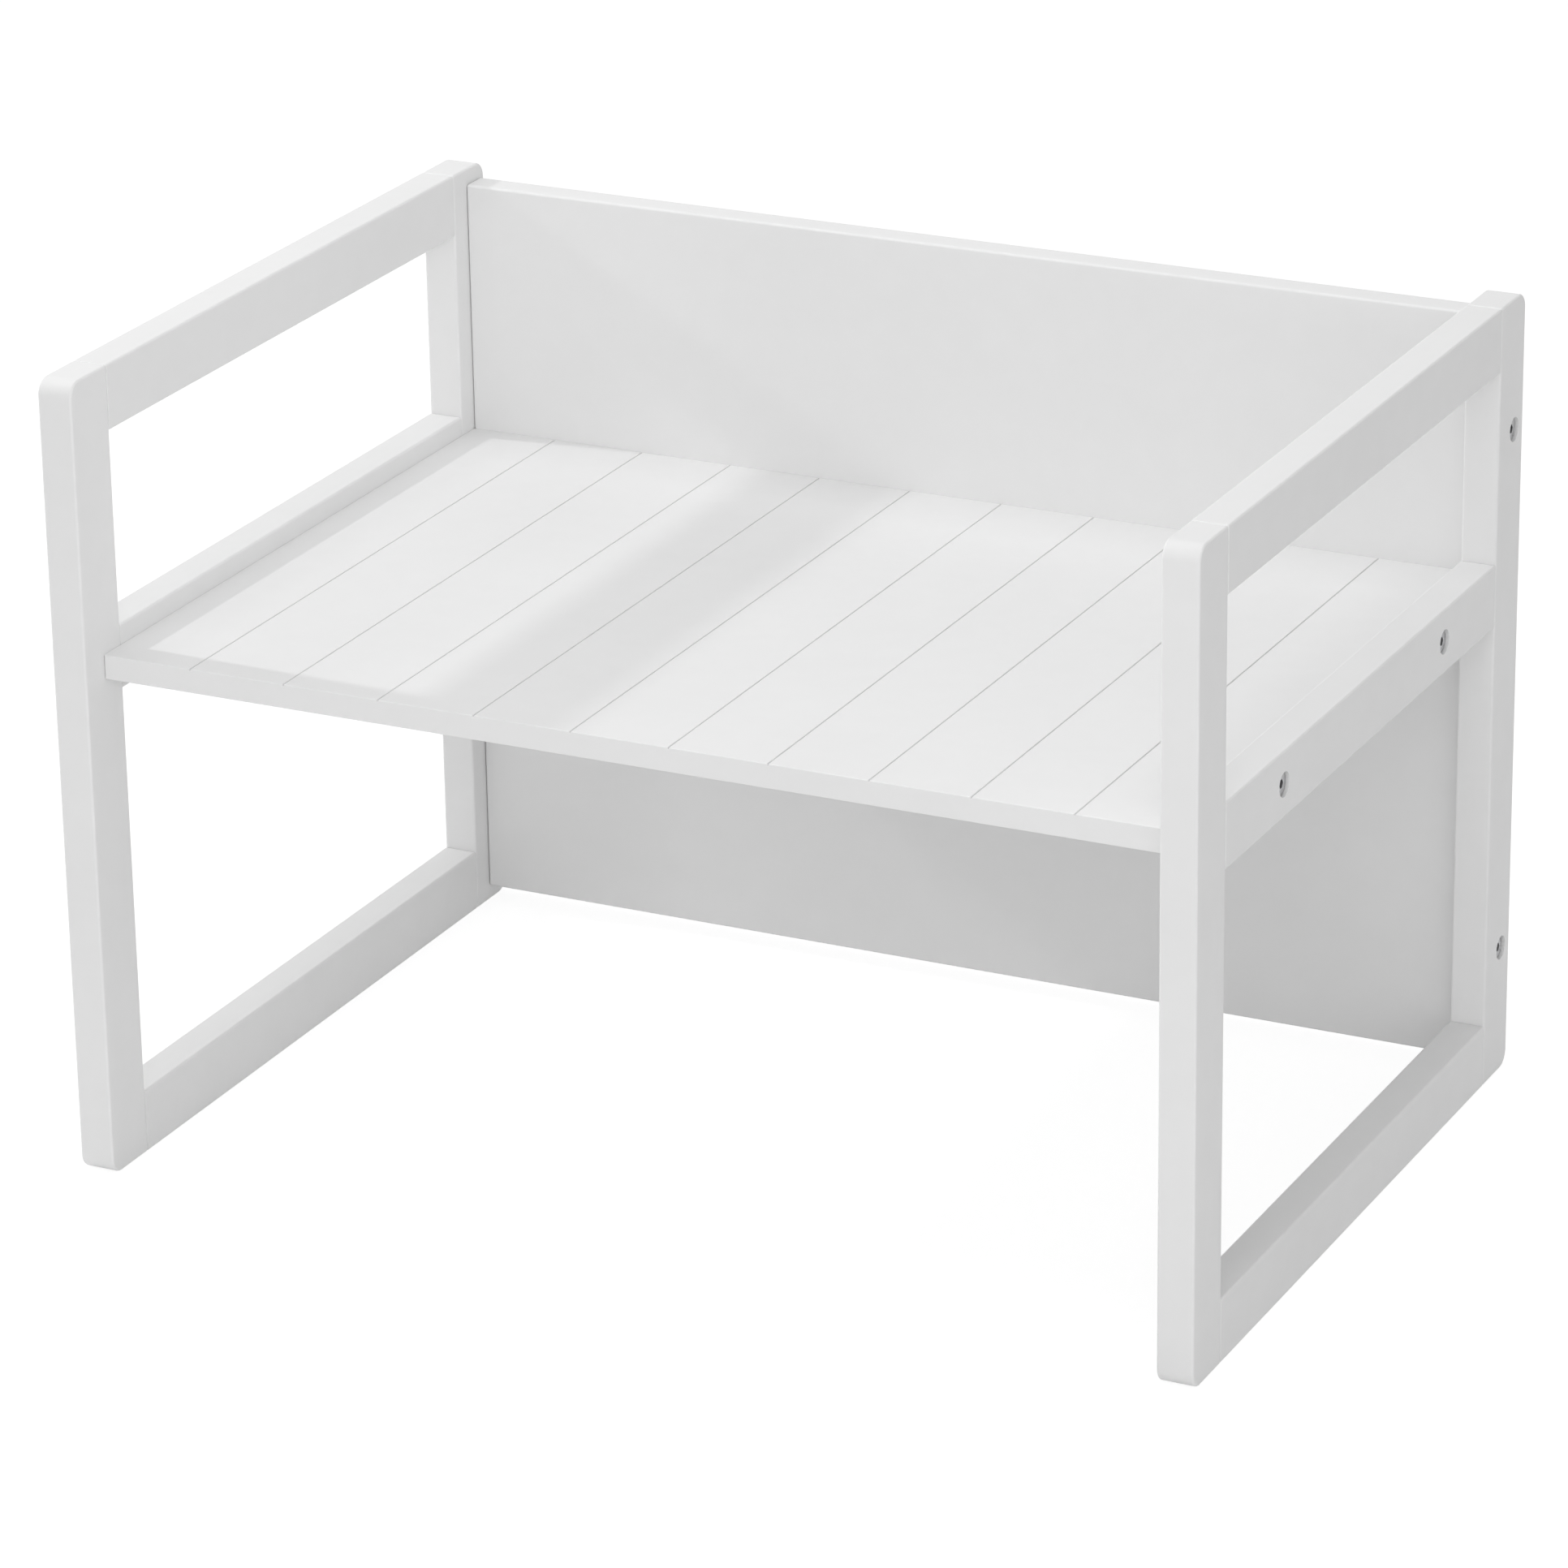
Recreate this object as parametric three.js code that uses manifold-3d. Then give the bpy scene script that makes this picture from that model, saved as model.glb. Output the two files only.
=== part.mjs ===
// A child's reversible bench in white lacquered wood, in millimetres, +Z up.
// Two open side frames of flat stock carry a grooved seat board and a back panel.
// Turned upside down it gives a lower seat, and tipped on its front edges it is a small table.
// The bench faces -Y, +X is its right side seen from the front, and it stands on z = 0.

import * as THREE from 'three';
import { mergeVertices } from 'three/addons/utils/BufferGeometryUtils.js';
import Module from 'manifold-3d';

const wasm = await Module();
wasm.setup();

// Overall size of the bench
const benchWidth = 580;
const benchDepth = 400;
const benchHeight = 400;

// Flat stock of the side frames
const stockThickness = 18;
const stockWidth = 32;
const frameCornerRadius = 8;
const frameArris = 1.2;
const seamArris = 0.8;

// Seat board and the rail that carries it
const seatRailBottom = 240;
const seatThickness = 12;
const seatFrontSetback = 16;
const seatArris = 1.5;

// Milled grooves in the top of the seat board, square to its front edge
const groovePitch = 50;
const grooveWidth = 1.6;
const grooveDepth = 1.2;
const grooveEdgeMargin = 12;

// Back panel between the rear posts
const panelThickness = 15;
const panelRearSetback = 4;
const panelEndSetback = 8;
const panelArris = 1.5;

// Ends of both boards, where they meet the side frames
const boardEndArris = 1;

// Hex-socket screws, four through each side frame
const screwLength = 50;
const screwThreadDiameter = 5;
const screwNeckDiameter = 5.8;
const screwNeckLength = 12;
const screwTipLength = 4;
const screwTipDiameter = 2.6;
const screwHeadDiameter = 10.6;
const screwHeadHeight = 3.2;
const screwHeadArris = 0.5;
const hexSocketSides = 6;
const hexSocketAcrossFlats = 4;
const hexSocketDepth = 2.2;
const counterboreDiameter = 12;
const counterboreDepth = 5;
const seatScrewSpacing = 200;
const panelScrewInset = 66;

// Glued dowels that hold the rails between the posts, two at each end of a rail
const frameDowelDiameter = 8;
const frameDowelLength = 30;
const frameDowelPostDepth = 14;
const frameDowelSpacing = 16;

// Locating dowels between the boards and the side frames
const boardDowelDiameter = 6;
const boardDowelLength = 28;
const boardDowelFrameDepth = 10;
const boardDowelFromScrew = 42;
const dowelChamfer = 1;

// Clearances and the overrun of every cut
const fitGap = 0.3;
const cutOverrun = 2;

// Facets of the round forms
const boreSides = 16;
const dowelSides = 12;
const cornerSteps = 4;
const arrisSteps = 1;
const easedSteps = 2;

// Places worked out from the sizes above
const frontFace = -benchDepth / 2;
const rearFace = benchDepth / 2;
const frontPostInner = frontFace + stockWidth;
const rearPostInner = rearFace - stockWidth;
const frameCentre = benchWidth / 2 - stockThickness / 2;
const frameInner = benchWidth / 2 - stockThickness;
const counterboreFloor = stockThickness / 2 - counterboreDepth;
const seatRailCentre = seatRailBottom + stockWidth / 2;
const seatFront = frontFace + seatFrontSetback;
const panelRear = rearFace - panelRearSetback;
const panelFront = panelRear - panelThickness;
const panelCentre = (panelFront + panelRear) / 2;
const boardLength = 2 * (frameInner - fitGap);
const frameDowelRailDepth = frameDowelLength - frameDowelPostDepth;
const boardDowelBoardDepth = boardDowelLength - boardDowelFrameDepth;

// The two sides and ends, as signs along X and Y or Z
const sides = [
  { name: 'left', sign: -1 },
  { name: 'right', sign: 1 },
];
const seatScrewPlaces = [
  { name: 'front', along: -seatScrewSpacing / 2, inward: 1 },
  { name: 'rear', along: seatScrewSpacing / 2, inward: -1 },
];
const panelScrewPlaces = [
  { name: 'lower', along: panelScrewInset, inward: 1 },
  { name: 'upper', along: benchHeight - panelScrewInset, inward: -1 },
];
const railPlaces = [
  { name: 'bottom_rail', bottom: 0 },
  { name: 'seat_rail', bottom: seatRailBottom },
  { name: 'top_rail', bottom: benchHeight - stockWidth },
];

// Finishes
function lacquer() {
  return new THREE.MeshStandardMaterial({ color: 0xe9e9e7, roughness: 0.42, metalness: 0 });
}

function beech() {
  return new THREE.MeshStandardMaterial({ color: 0xd8b88a, roughness: 0.75, metalness: 0 });
}

function zincPlate() {
  return new THREE.MeshStandardMaterial({ color: 0xb3b5b7, roughness: 0.34, metalness: 0.9 });
}

// Turns a closed geometry into a solid that can be joined and cut.
// A turned profile that ends on its axis leaves triangles with no area there, which are dropped.
function toSolid(geometry) {
  const bare = geometry.clone();
  bare.deleteAttribute('normal');
  bare.deleteAttribute('uv');
  const merged = mergeVertices(bare);
  const corners = merged.index.array;
  const triangles = [];
  for (let i = 0; i < corners.length; i += 3) {
    const [a, b, c] = [corners[i], corners[i + 1], corners[i + 2]];
    if (a !== b && b !== c && c !== a) {
      triangles.push(a, b, c);
    }
  }
  return new wasm.Manifold(new wasm.Mesh({
    numProp: 3,
    vertProperties: new Float32Array(merged.attributes.position.array),
    triVerts: new Uint32Array(triangles),
  }));
}

// Turns a solid back into a geometry with flat facets
function toGeometry(solid) {
  const mesh = solid.getMesh();
  const indexed = new THREE.BufferGeometry();
  indexed.setAttribute('position', new THREE.BufferAttribute(new Float32Array(mesh.vertProperties), 3));
  indexed.setIndex(new THREE.BufferAttribute(new Uint32Array(mesh.triVerts), 1));
  const flat = indexed.toNonIndexed();
  flat.computeVertexNormals();
  return flat;
}

// Cuts every tool geometry out of a geometry
function cutAll(geometry, tools) {
  let solid = toSolid(geometry);
  for (const tool of tools) {
    solid = solid.subtract(toSolid(tool));
  }
  return toGeometry(solid);
}

function namedMesh(name, geometry, material) {
  const mesh = new THREE.Mesh(geometry, material);
  mesh.name = name;
  return mesh;
}

// A rectangle centred on the origin with its corners rounded
function roundedRectangle(width, height, radius) {
  const shape = new THREE.Shape();
  const right = width / 2 - radius;
  const top = height / 2 - radius;
  shape.absarc(right, -top, radius, -Math.PI / 2, 0, false);
  shape.absarc(right, top, radius, 0, Math.PI / 2, false);
  shape.absarc(-right, top, radius, Math.PI / 2, Math.PI, false);
  shape.absarc(-right, -top, radius, Math.PI, 1.5 * Math.PI, false);
  return shape;
}

// The turn that takes X to Y, Y to Z and Z to X
function cycleAxes() {
  return new THREE.Matrix4().makeBasis(
    new THREE.Vector3(0, 1, 0),
    new THREE.Vector3(0, 0, 1),
    new THREE.Vector3(1, 0, 0),
  );
}

// Extrudes a YZ outline along X, centred on x = 0, with its end arrises eased
function extrudeAlongX(shape, length, arris, curveSteps) {
  const geometry = new THREE.ExtrudeGeometry(shape, {
    depth: length - 2 * arris,
    curveSegments: curveSteps,
    bevelEnabled: true,
    bevelThickness: arris,
    bevelSize: arris,
    bevelOffset: -arris,
    bevelSegments: easedSteps,
  });
  geometry.translate(0, 0, arris - length / 2);
  return geometry.applyMatrix4(cycleAxes());
}

// A round cutter or pin along X from one x to another, at a given y and z
function roundAlongX(diameter, startX, endX, y, z, roundSides) {
  const geometry = new THREE.CylinderGeometry(diameter / 2, diameter / 2, endX - startX, roundSides);
  geometry.rotateZ(-Math.PI / 2);
  return geometry.translate((startX + endX) / 2, y, z);
}

// A round cutter along Y from one y to another, at a given x and z
function roundAlongY(diameter, startY, endY, x, z, roundSides) {
  const geometry = new THREE.CylinderGeometry(diameter / 2, diameter / 2, endY - startY, roundSides);
  return geometry.translate(x, (startY + endY) / 2, z);
}

// The heights of the two dowels in a rail end, measured from the rail's lower edge
function frameDowelHeights(railBottom) {
  const middle = railBottom + stockWidth / 2;
  return [middle - frameDowelSpacing / 2, middle + frameDowelSpacing / 2];
}

// Counterbore and clearance hole for one screw that enters the frame from outside.
// The frame's own x runs from -stockThickness/2 to stockThickness/2.
function screwBores(sign, y, z) {
  const face = stockThickness / 2;
  const clearance = screwNeckDiameter + 2 * fitGap;
  const spans = [
    { diameter: counterboreDiameter, from: counterboreFloor, to: face + cutOverrun },
    { diameter: clearance, from: -face - cutOverrun, to: counterboreFloor + cutOverrun },
  ];
  return spans.map(({ diameter, from, to }) => {
    const ends = [sign * from, sign * to].sort((a, b) => a - b);
    return roundAlongX(diameter, ends[0], ends[1], y, z, boreSides);
  });
}

// Blind hole in the inner face of a frame for one locating dowel
function boardDowelBoreInFrame(sign, y, z) {
  const face = stockThickness / 2;
  const ends = [sign * (-face - cutOverrun), sign * (boardDowelFrameDepth + fitGap - face)];
  ends.sort((a, b) => a - b);
  return roundAlongX(boardDowelDiameter + 2 * fitGap, ends[0], ends[1], y, z, boreSides);
}

// A post is a bar with its two outer corners rounded in the side view
function postOutline(inward) {
  const shape = new THREE.Shape();
  const half = stockWidth / 2;
  const radius = frameCornerRadius;
  const top = benchHeight;
  if (inward > 0) {
    shape.moveTo(half, 0);
    shape.lineTo(half, top);
    shape.lineTo(radius - half, top);
    shape.absarc(radius - half, top - radius, radius, Math.PI / 2, Math.PI, false);
    shape.lineTo(-half, radius);
    shape.absarc(radius - half, radius, radius, Math.PI, 1.5 * Math.PI, false);
  } else {
    shape.moveTo(-half, 0);
    shape.lineTo(half - radius, 0);
    shape.absarc(half - radius, radius, radius, -Math.PI / 2, 0, false);
    shape.lineTo(half, top - radius);
    shape.absarc(half - radius, top - radius, radius, 0, Math.PI / 2, false);
    shape.lineTo(-half, top);
  }
  shape.closePath();
  return shape;
}

// Holes in a post's inner edge for the dowels of the three rails, in the post's own place
function postDowelBores(inward) {
  const half = stockWidth / 2;
  const ends = [inward * (half + cutOverrun), inward * (half - frameDowelPostDepth - fitGap)];
  ends.sort((a, b) => a - b);
  return railPlaces.flatMap((rail) => frameDowelHeights(rail.bottom)
    .map((z) => roundAlongY(frameDowelDiameter + 2 * fitGap, ends[0], ends[1], 0, z, boreSides)));
}

function buildFrontPost(side) {
  const geometry = extrudeAlongX(postOutline(1), stockThickness, frameArris, cornerSteps);
  const post = namedMesh(`${side.name}_front_post`, cutAll(geometry, postDowelBores(1)), lacquer());
  post.position.y = frontFace + stockWidth / 2;
  return post;
}

function buildRearPost(side) {
  const middle = rearFace - stockWidth / 2;
  const geometry = extrudeAlongX(postOutline(-1), stockThickness, frameArris, cornerSteps);
  const tools = postDowelBores(-1);
  for (const place of panelScrewPlaces) {
    const dowelZ = place.along + place.inward * boardDowelFromScrew;
    tools.push(...screwBores(side.sign, panelCentre - middle, place.along));
    tools.push(boardDowelBoreInFrame(side.sign, panelCentre - middle, dowelZ));
  }
  const post = namedMesh(`${side.name}_rear_post`, cutAll(geometry, tools), lacquer());
  post.position.y = middle;
  return post;
}

// A rail is a bar between the posts, eased on its long arrises and, for the seams, at its ends
function buildRail(side, place) {
  const length = rearPostInner - frontPostInner - 2 * fitGap;
  const section = roundedRectangle(stockWidth, stockThickness, frameArris);
  const bar = extrudeAlongX(section, length, seamArris, arrisSteps);
  const geometry = bar.applyMatrix4(cycleAxes());
  const tools = [];
  const halfHeight = stockWidth / 2;
  for (const end of [-1, 1]) {
    const ends = [end * (length / 2 + cutOverrun), end * (length / 2 - frameDowelRailDepth)];
    ends.sort((a, b) => a - b);
    for (const z of frameDowelHeights(-halfHeight)) {
      tools.push(roundAlongY(frameDowelDiameter + 2 * fitGap, ends[0], ends[1], 0, z, boreSides));
    }
  }
  if (place.name === 'seat_rail') {
    for (const screw of seatScrewPlaces) {
      const dowelY = screw.along + screw.inward * boardDowelFromScrew;
      tools.push(...screwBores(side.sign, screw.along, 0));
      tools.push(boardDowelBoreInFrame(side.sign, dowelY, 0));
    }
  }
  const rail = namedMesh(`${side.name}_${place.name}`, cutAll(geometry, tools), lacquer());
  rail.position.z = place.bottom + halfHeight;
  return rail;
}

// Profile of a dowel with chamfered ends, turned about Y from 0 to its length
function dowelGeometry(diameter, length) {
  const radius = diameter / 2;
  const profile = [
    new THREE.Vector2(0, 0),
    new THREE.Vector2(radius - dowelChamfer, 0),
    new THREE.Vector2(radius, dowelChamfer),
    new THREE.Vector2(radius, length - dowelChamfer),
    new THREE.Vector2(radius - dowelChamfer, length),
    new THREE.Vector2(0, length),
  ];
  return cutAll(new THREE.LatheGeometry(profile, dowelSides), []);
}

// Two dowels at each end of a rail, half in the post and half in the rail
function buildFrameDowels(side, place) {
  const dowels = [];
  const ends = [
    { name: 'front', joint: frontPostInner, inward: 1 },
    { name: 'rear', joint: rearPostInner, inward: -1 },
  ];
  for (const end of ends) {
    frameDowelHeights(place.bottom).forEach((z, index) => {
      const geometry = dowelGeometry(frameDowelDiameter, frameDowelLength);
      const name = `${side.name}_${place.name}_${end.name}_dowel_${index + 1}`;
      const dowel = namedMesh(name, geometry, beech());
      const start = end.joint - end.inward * frameDowelPostDepth;
      dowel.position.set(0, Math.min(start, start + end.inward * frameDowelLength), z);
      dowels.push(dowel);
    });
  }
  return dowels;
}

function buildSideFrame(side) {
  const frame = new THREE.Group();
  frame.position.x = side.sign * frameCentre;
  frame.add(buildFrontPost(side), buildRearPost(side));
  for (const place of railPlaces) {
    frame.add(buildRail(side, place), ...buildFrameDowels(side, place));
  }
  return frame;
}

// Holes in both ends of a board for one screw and its locating dowel
function boardEndBores(screwY, screwZ, dowelY, dowelZ) {
  const end = boardLength / 2;
  const screwDepth = screwLength - (counterboreFloor + stockThickness / 2);
  const bores = [];
  for (const sign of [-1, 1]) {
    const spans = [
      { diameter: screwNeckDiameter + 2 * fitGap, depth: screwDepth + fitGap, y: screwY, z: screwZ },
      { diameter: boardDowelDiameter + 2 * fitGap, depth: boardDowelBoardDepth, y: dowelY, z: dowelZ },
    ];
    for (const span of spans) {
      const ends = [sign * (end + cutOverrun), sign * (end - span.depth)].sort((a, b) => a - b);
      bores.push(roundAlongX(span.diameter, ends[0], ends[1], span.y, span.z, boreSides));
    }
  }
  return bores;
}

// The x of every groove, mirrored about the middle of the board
function groovePlaces() {
  const reach = boardLength / 2 - grooveEdgeMargin;
  const places = [];
  for (let x = groovePitch / 2; x < reach; x += groovePitch) {
    places.push(-x, x);
  }
  return places;
}

// A V-shaped cutter that runs along Y through the top of the seat board
function grooveCutter(x, depth) {
  const rise = grooveDepth + cutOverrun;
  const halfWidth = (grooveWidth / 2) * (rise / grooveDepth);
  const shape = new THREE.Shape();
  shape.moveTo(0, seatThickness / 2 - grooveDepth);
  shape.lineTo(halfWidth, seatThickness / 2 + cutOverrun);
  shape.lineTo(-halfWidth, seatThickness / 2 + cutOverrun);
  shape.closePath();
  const geometry = new THREE.ExtrudeGeometry(shape, { depth: depth + 2 * cutOverrun, bevelEnabled: false });
  geometry.translate(0, 0, -depth / 2 - cutOverrun);
  geometry.rotateX(Math.PI / 2);
  return geometry.translate(x, 0, 0);
}

function buildSeatBoard() {
  const depth = panelFront - fitGap - seatFront;
  const middle = seatFront + depth / 2;
  const section = roundedRectangle(depth, seatThickness, seatArris);
  const geometry = extrudeAlongX(section, boardLength, boardEndArris, arrisSteps);
  const tools = groovePlaces().map((x) => grooveCutter(x, depth));
  for (const screw of seatScrewPlaces) {
    const dowelY = screw.along + screw.inward * boardDowelFromScrew;
    tools.push(...boardEndBores(screw.along - middle, 0, dowelY - middle, 0));
  }
  const board = namedMesh('seat_board', cutAll(geometry, tools), lacquer());
  board.position.set(0, middle, seatRailCentre);
  return board;
}

function buildBackPanel() {
  const height = benchHeight - 2 * panelEndSetback;
  const middle = benchHeight / 2;
  const section = roundedRectangle(panelThickness, height, panelArris);
  const geometry = extrudeAlongX(section, boardLength, boardEndArris, arrisSteps);
  const tools = [];
  for (const screw of panelScrewPlaces) {
    const dowelZ = screw.along + screw.inward * boardDowelFromScrew;
    tools.push(...boardEndBores(0, screw.along - middle, 0, dowelZ - middle));
  }
  const panel = namedMesh('back_panel', cutAll(geometry, tools), lacquer());
  panel.position.set(0, panelCentre, middle);
  return panel;
}

// A hex-socket screw turned about Y: the tip at -screwLength, the head above y = 0
function screwGeometry() {
  const head = screwHeadDiameter / 2;
  const neck = screwNeckDiameter / 2;
  const thread = screwThreadDiameter / 2;
  const profile = [
    new THREE.Vector2(0, -screwLength),
    new THREE.Vector2(screwTipDiameter / 2, -screwLength),
    new THREE.Vector2(thread, screwTipLength - screwLength),
    new THREE.Vector2(thread, -screwNeckLength),
    new THREE.Vector2(neck, -screwNeckLength),
    new THREE.Vector2(neck, 0),
    new THREE.Vector2(head, 0),
    new THREE.Vector2(head, screwHeadHeight - screwHeadArris),
    new THREE.Vector2(head - screwHeadArris, screwHeadHeight),
    new THREE.Vector2(0, screwHeadHeight),
  ];
  const body = new THREE.LatheGeometry(profile, boreSides);
  const socketRadius = hexSocketAcrossFlats / Math.sqrt(3);
  const socketHeight = hexSocketDepth + cutOverrun;
  const socket = new THREE.CylinderGeometry(socketRadius, socketRadius, socketHeight, hexSocketSides);
  socket.translate(0, screwHeadHeight - hexSocketDepth + socketHeight / 2, 0);
  return cutAll(body, [socket]);
}

// A screw lies along X with its head in the counterbore of its side frame
function placeScrew(name, side, y, z) {
  const geometry = screwGeometry();
  geometry.rotateZ(-side.sign * Math.PI / 2);
  const screw = namedMesh(name, geometry, zincPlate());
  screw.position.set(side.sign * (frameCentre + counterboreFloor + fitGap), y, z);
  return screw;
}

// A locating dowel lies along X across the joint between a board and a side frame
function placeBoardDowel(name, side, y, z) {
  const geometry = dowelGeometry(boardDowelDiameter, boardDowelLength);
  geometry.rotateZ(-side.sign * Math.PI / 2);
  const dowel = namedMesh(name, geometry, beech());
  dowel.position.set(side.sign * (frameInner + boardDowelFrameDepth - boardDowelLength), y, z);
  return dowel;
}

function buildBoardFixings(side) {
  const fixings = [];
  for (const place of seatScrewPlaces) {
    const dowelY = place.along + place.inward * boardDowelFromScrew;
    const ending = `${side.name}_${place.name}`;
    fixings.push(placeScrew(`seat_screw_${ending}`, side, place.along, seatRailCentre));
    fixings.push(placeBoardDowel(`seat_dowel_${ending}`, side, dowelY, seatRailCentre));
  }
  for (const place of panelScrewPlaces) {
    const dowelZ = place.along + place.inward * boardDowelFromScrew;
    const ending = `${side.name}_${place.name}`;
    fixings.push(placeScrew(`panel_screw_${ending}`, side, panelCentre, place.along));
    fixings.push(placeBoardDowel(`panel_dowel_${ending}`, side, panelCentre, dowelZ));
  }
  return fixings;
}

const bench = new THREE.Group();
for (const side of sides) {
  bench.add(buildSideFrame(side), ...buildBoardFixings(side));
}
bench.add(buildSeatBoard(), buildBackPanel());

export default bench;
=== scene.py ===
"""A small reversible bench: two lacquered side frames, a grooved seat board and a back panel.

Every length is in metres. Bars and boards are slabs: their outline is drawn in the side view, in Y and
Z, and they are built up along X from one end face to the other. The beech dowels stay as they are in
the frame and get a wood finish.
"""

from __future__ import annotations

import logging
import math
from dataclasses import dataclass, field
from enum import Enum
from typing import Sequence

import bmesh
import bpy
from mathutils import Matrix, Vector


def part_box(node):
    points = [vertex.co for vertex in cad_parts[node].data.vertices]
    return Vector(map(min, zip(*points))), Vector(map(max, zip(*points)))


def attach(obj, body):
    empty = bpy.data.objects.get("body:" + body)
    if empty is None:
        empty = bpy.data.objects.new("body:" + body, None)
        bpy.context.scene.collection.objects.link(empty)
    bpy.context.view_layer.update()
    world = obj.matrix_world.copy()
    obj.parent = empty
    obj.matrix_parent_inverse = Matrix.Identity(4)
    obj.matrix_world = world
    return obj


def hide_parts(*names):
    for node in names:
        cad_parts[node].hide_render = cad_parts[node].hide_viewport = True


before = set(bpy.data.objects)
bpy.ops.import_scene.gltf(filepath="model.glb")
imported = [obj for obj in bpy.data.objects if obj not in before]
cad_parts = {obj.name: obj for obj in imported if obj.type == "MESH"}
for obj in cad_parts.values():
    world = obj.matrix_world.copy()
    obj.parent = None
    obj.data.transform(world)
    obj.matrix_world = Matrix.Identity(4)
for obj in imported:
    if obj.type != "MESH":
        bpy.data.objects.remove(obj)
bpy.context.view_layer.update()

LOG = logging.getLogger("bench")
MM = 0.001
# Points nearer to each other than this are one point.
WELD = 1e-7
BODY = "root"

# Faces that meet at more than this angle keep a crisp edge.
CRISP_ANGLE = math.radians(35)
# How strongly large faces set the shading where they meet small ones, from 1 to 100.
FLAT_FACE_WEIGHT = 100
# How far a piece's place in its finish moves for each step of its seed.
GRAIN_STEP = Vector((0.37, 0.23, 0.11))
FIRST_SCREW_SEED = 31

# The Mix node names its sockets alike for numbers and colours. These are the places of the colours'.
MIX_COLOURS = (6, 7)
MIXED_COLOUR = 2

# The names of the screws and dowels of each board end in their place along its end faces.
BOARD_ENDS = {"seat": ("front", "rear"), "panel": ("lower", "upper")}

Colour = tuple[float, float, float]
Point = tuple[float, float, float]
# The radii of an outline: front bottom, rear bottom, rear top, front top.
Radii = tuple[float, float, float, float]
# How far the front side, the rear side, and the lower and upper sides of an outline are moved inwards.
Inset = tuple[float, float, float]
# A ring of a turned shape: its depth below a face, its radius and how much it lies on a rounded edge.
Turned = tuple[float, float, float]
# What an input of a node is given: another socket, or a value.
Feed = bpy.types.NodeSocket | float | Sequence[float]


class Slot(Enum):
    """The record's material slots that new pieces take their finish from."""

    LACQUER = "white_lacquer"
    SCREW = "zinc_screw"


class Side(Enum):
    """The two side frames; the value is the way that the outer face looks along X."""

    LEFT = -1
    RIGHT = 1

    @property
    def word(self) -> str:
        """The side as the nodes' names spell it."""
        return self.name.lower()


class Axis(Enum):
    """An axis of the shared frame; the value is its place in a vector."""

    X = 0
    Y = 1
    Z = 2


def fixings(board: str, kind: str, side: Side) -> list[str]:
    """The names of the screws or the dowels that hold the seat or the panel to one side frame."""
    return [f"{board}_{kind}_{side.word}_{end}" for end in BOARD_ENDS[board]]


def mesh_layers(bm: bmesh.types.BMesh) -> tuple[bmesh.types.BMLayerItem, bmesh.types.BMLayerItem]:
    """The two point layers that the finishes read: the arris mask and the place in the piece."""
    return bm.verts.layers.float.new("arris"), bm.verts.layers.float_vector.new("place")


def put_in_scene(name: str, data: bpy.types.ID) -> bpy.types.Object:
    """Makes an object of a mesh, a light or a camera.

    Args:
        name: The object's name.
        data: What it shows.

    Returns:
        The object, linked to the scene.
    """
    made = bpy.data.objects.new(name, data)
    bpy.context.scene.collection.objects.link(made)
    return made


def quarter_round(steps: int) -> list[tuple[float, float, float]]:
    """The rings that round an edge by a quarter turn, from the face that it starts in.

    Args:
        steps: The number of facets.

    Returns:
        For each ring its depth below the face and its distance from the side, both as shares of the
        edge's radius, and how much it lies on the edge.
    """
    turns = [step / steps * math.pi / 2 for step in range(steps + 1)]
    return [(1 - math.cos(turn), 1 - math.sin(turn), math.sin(2 * turn)) for turn in turns]


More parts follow.
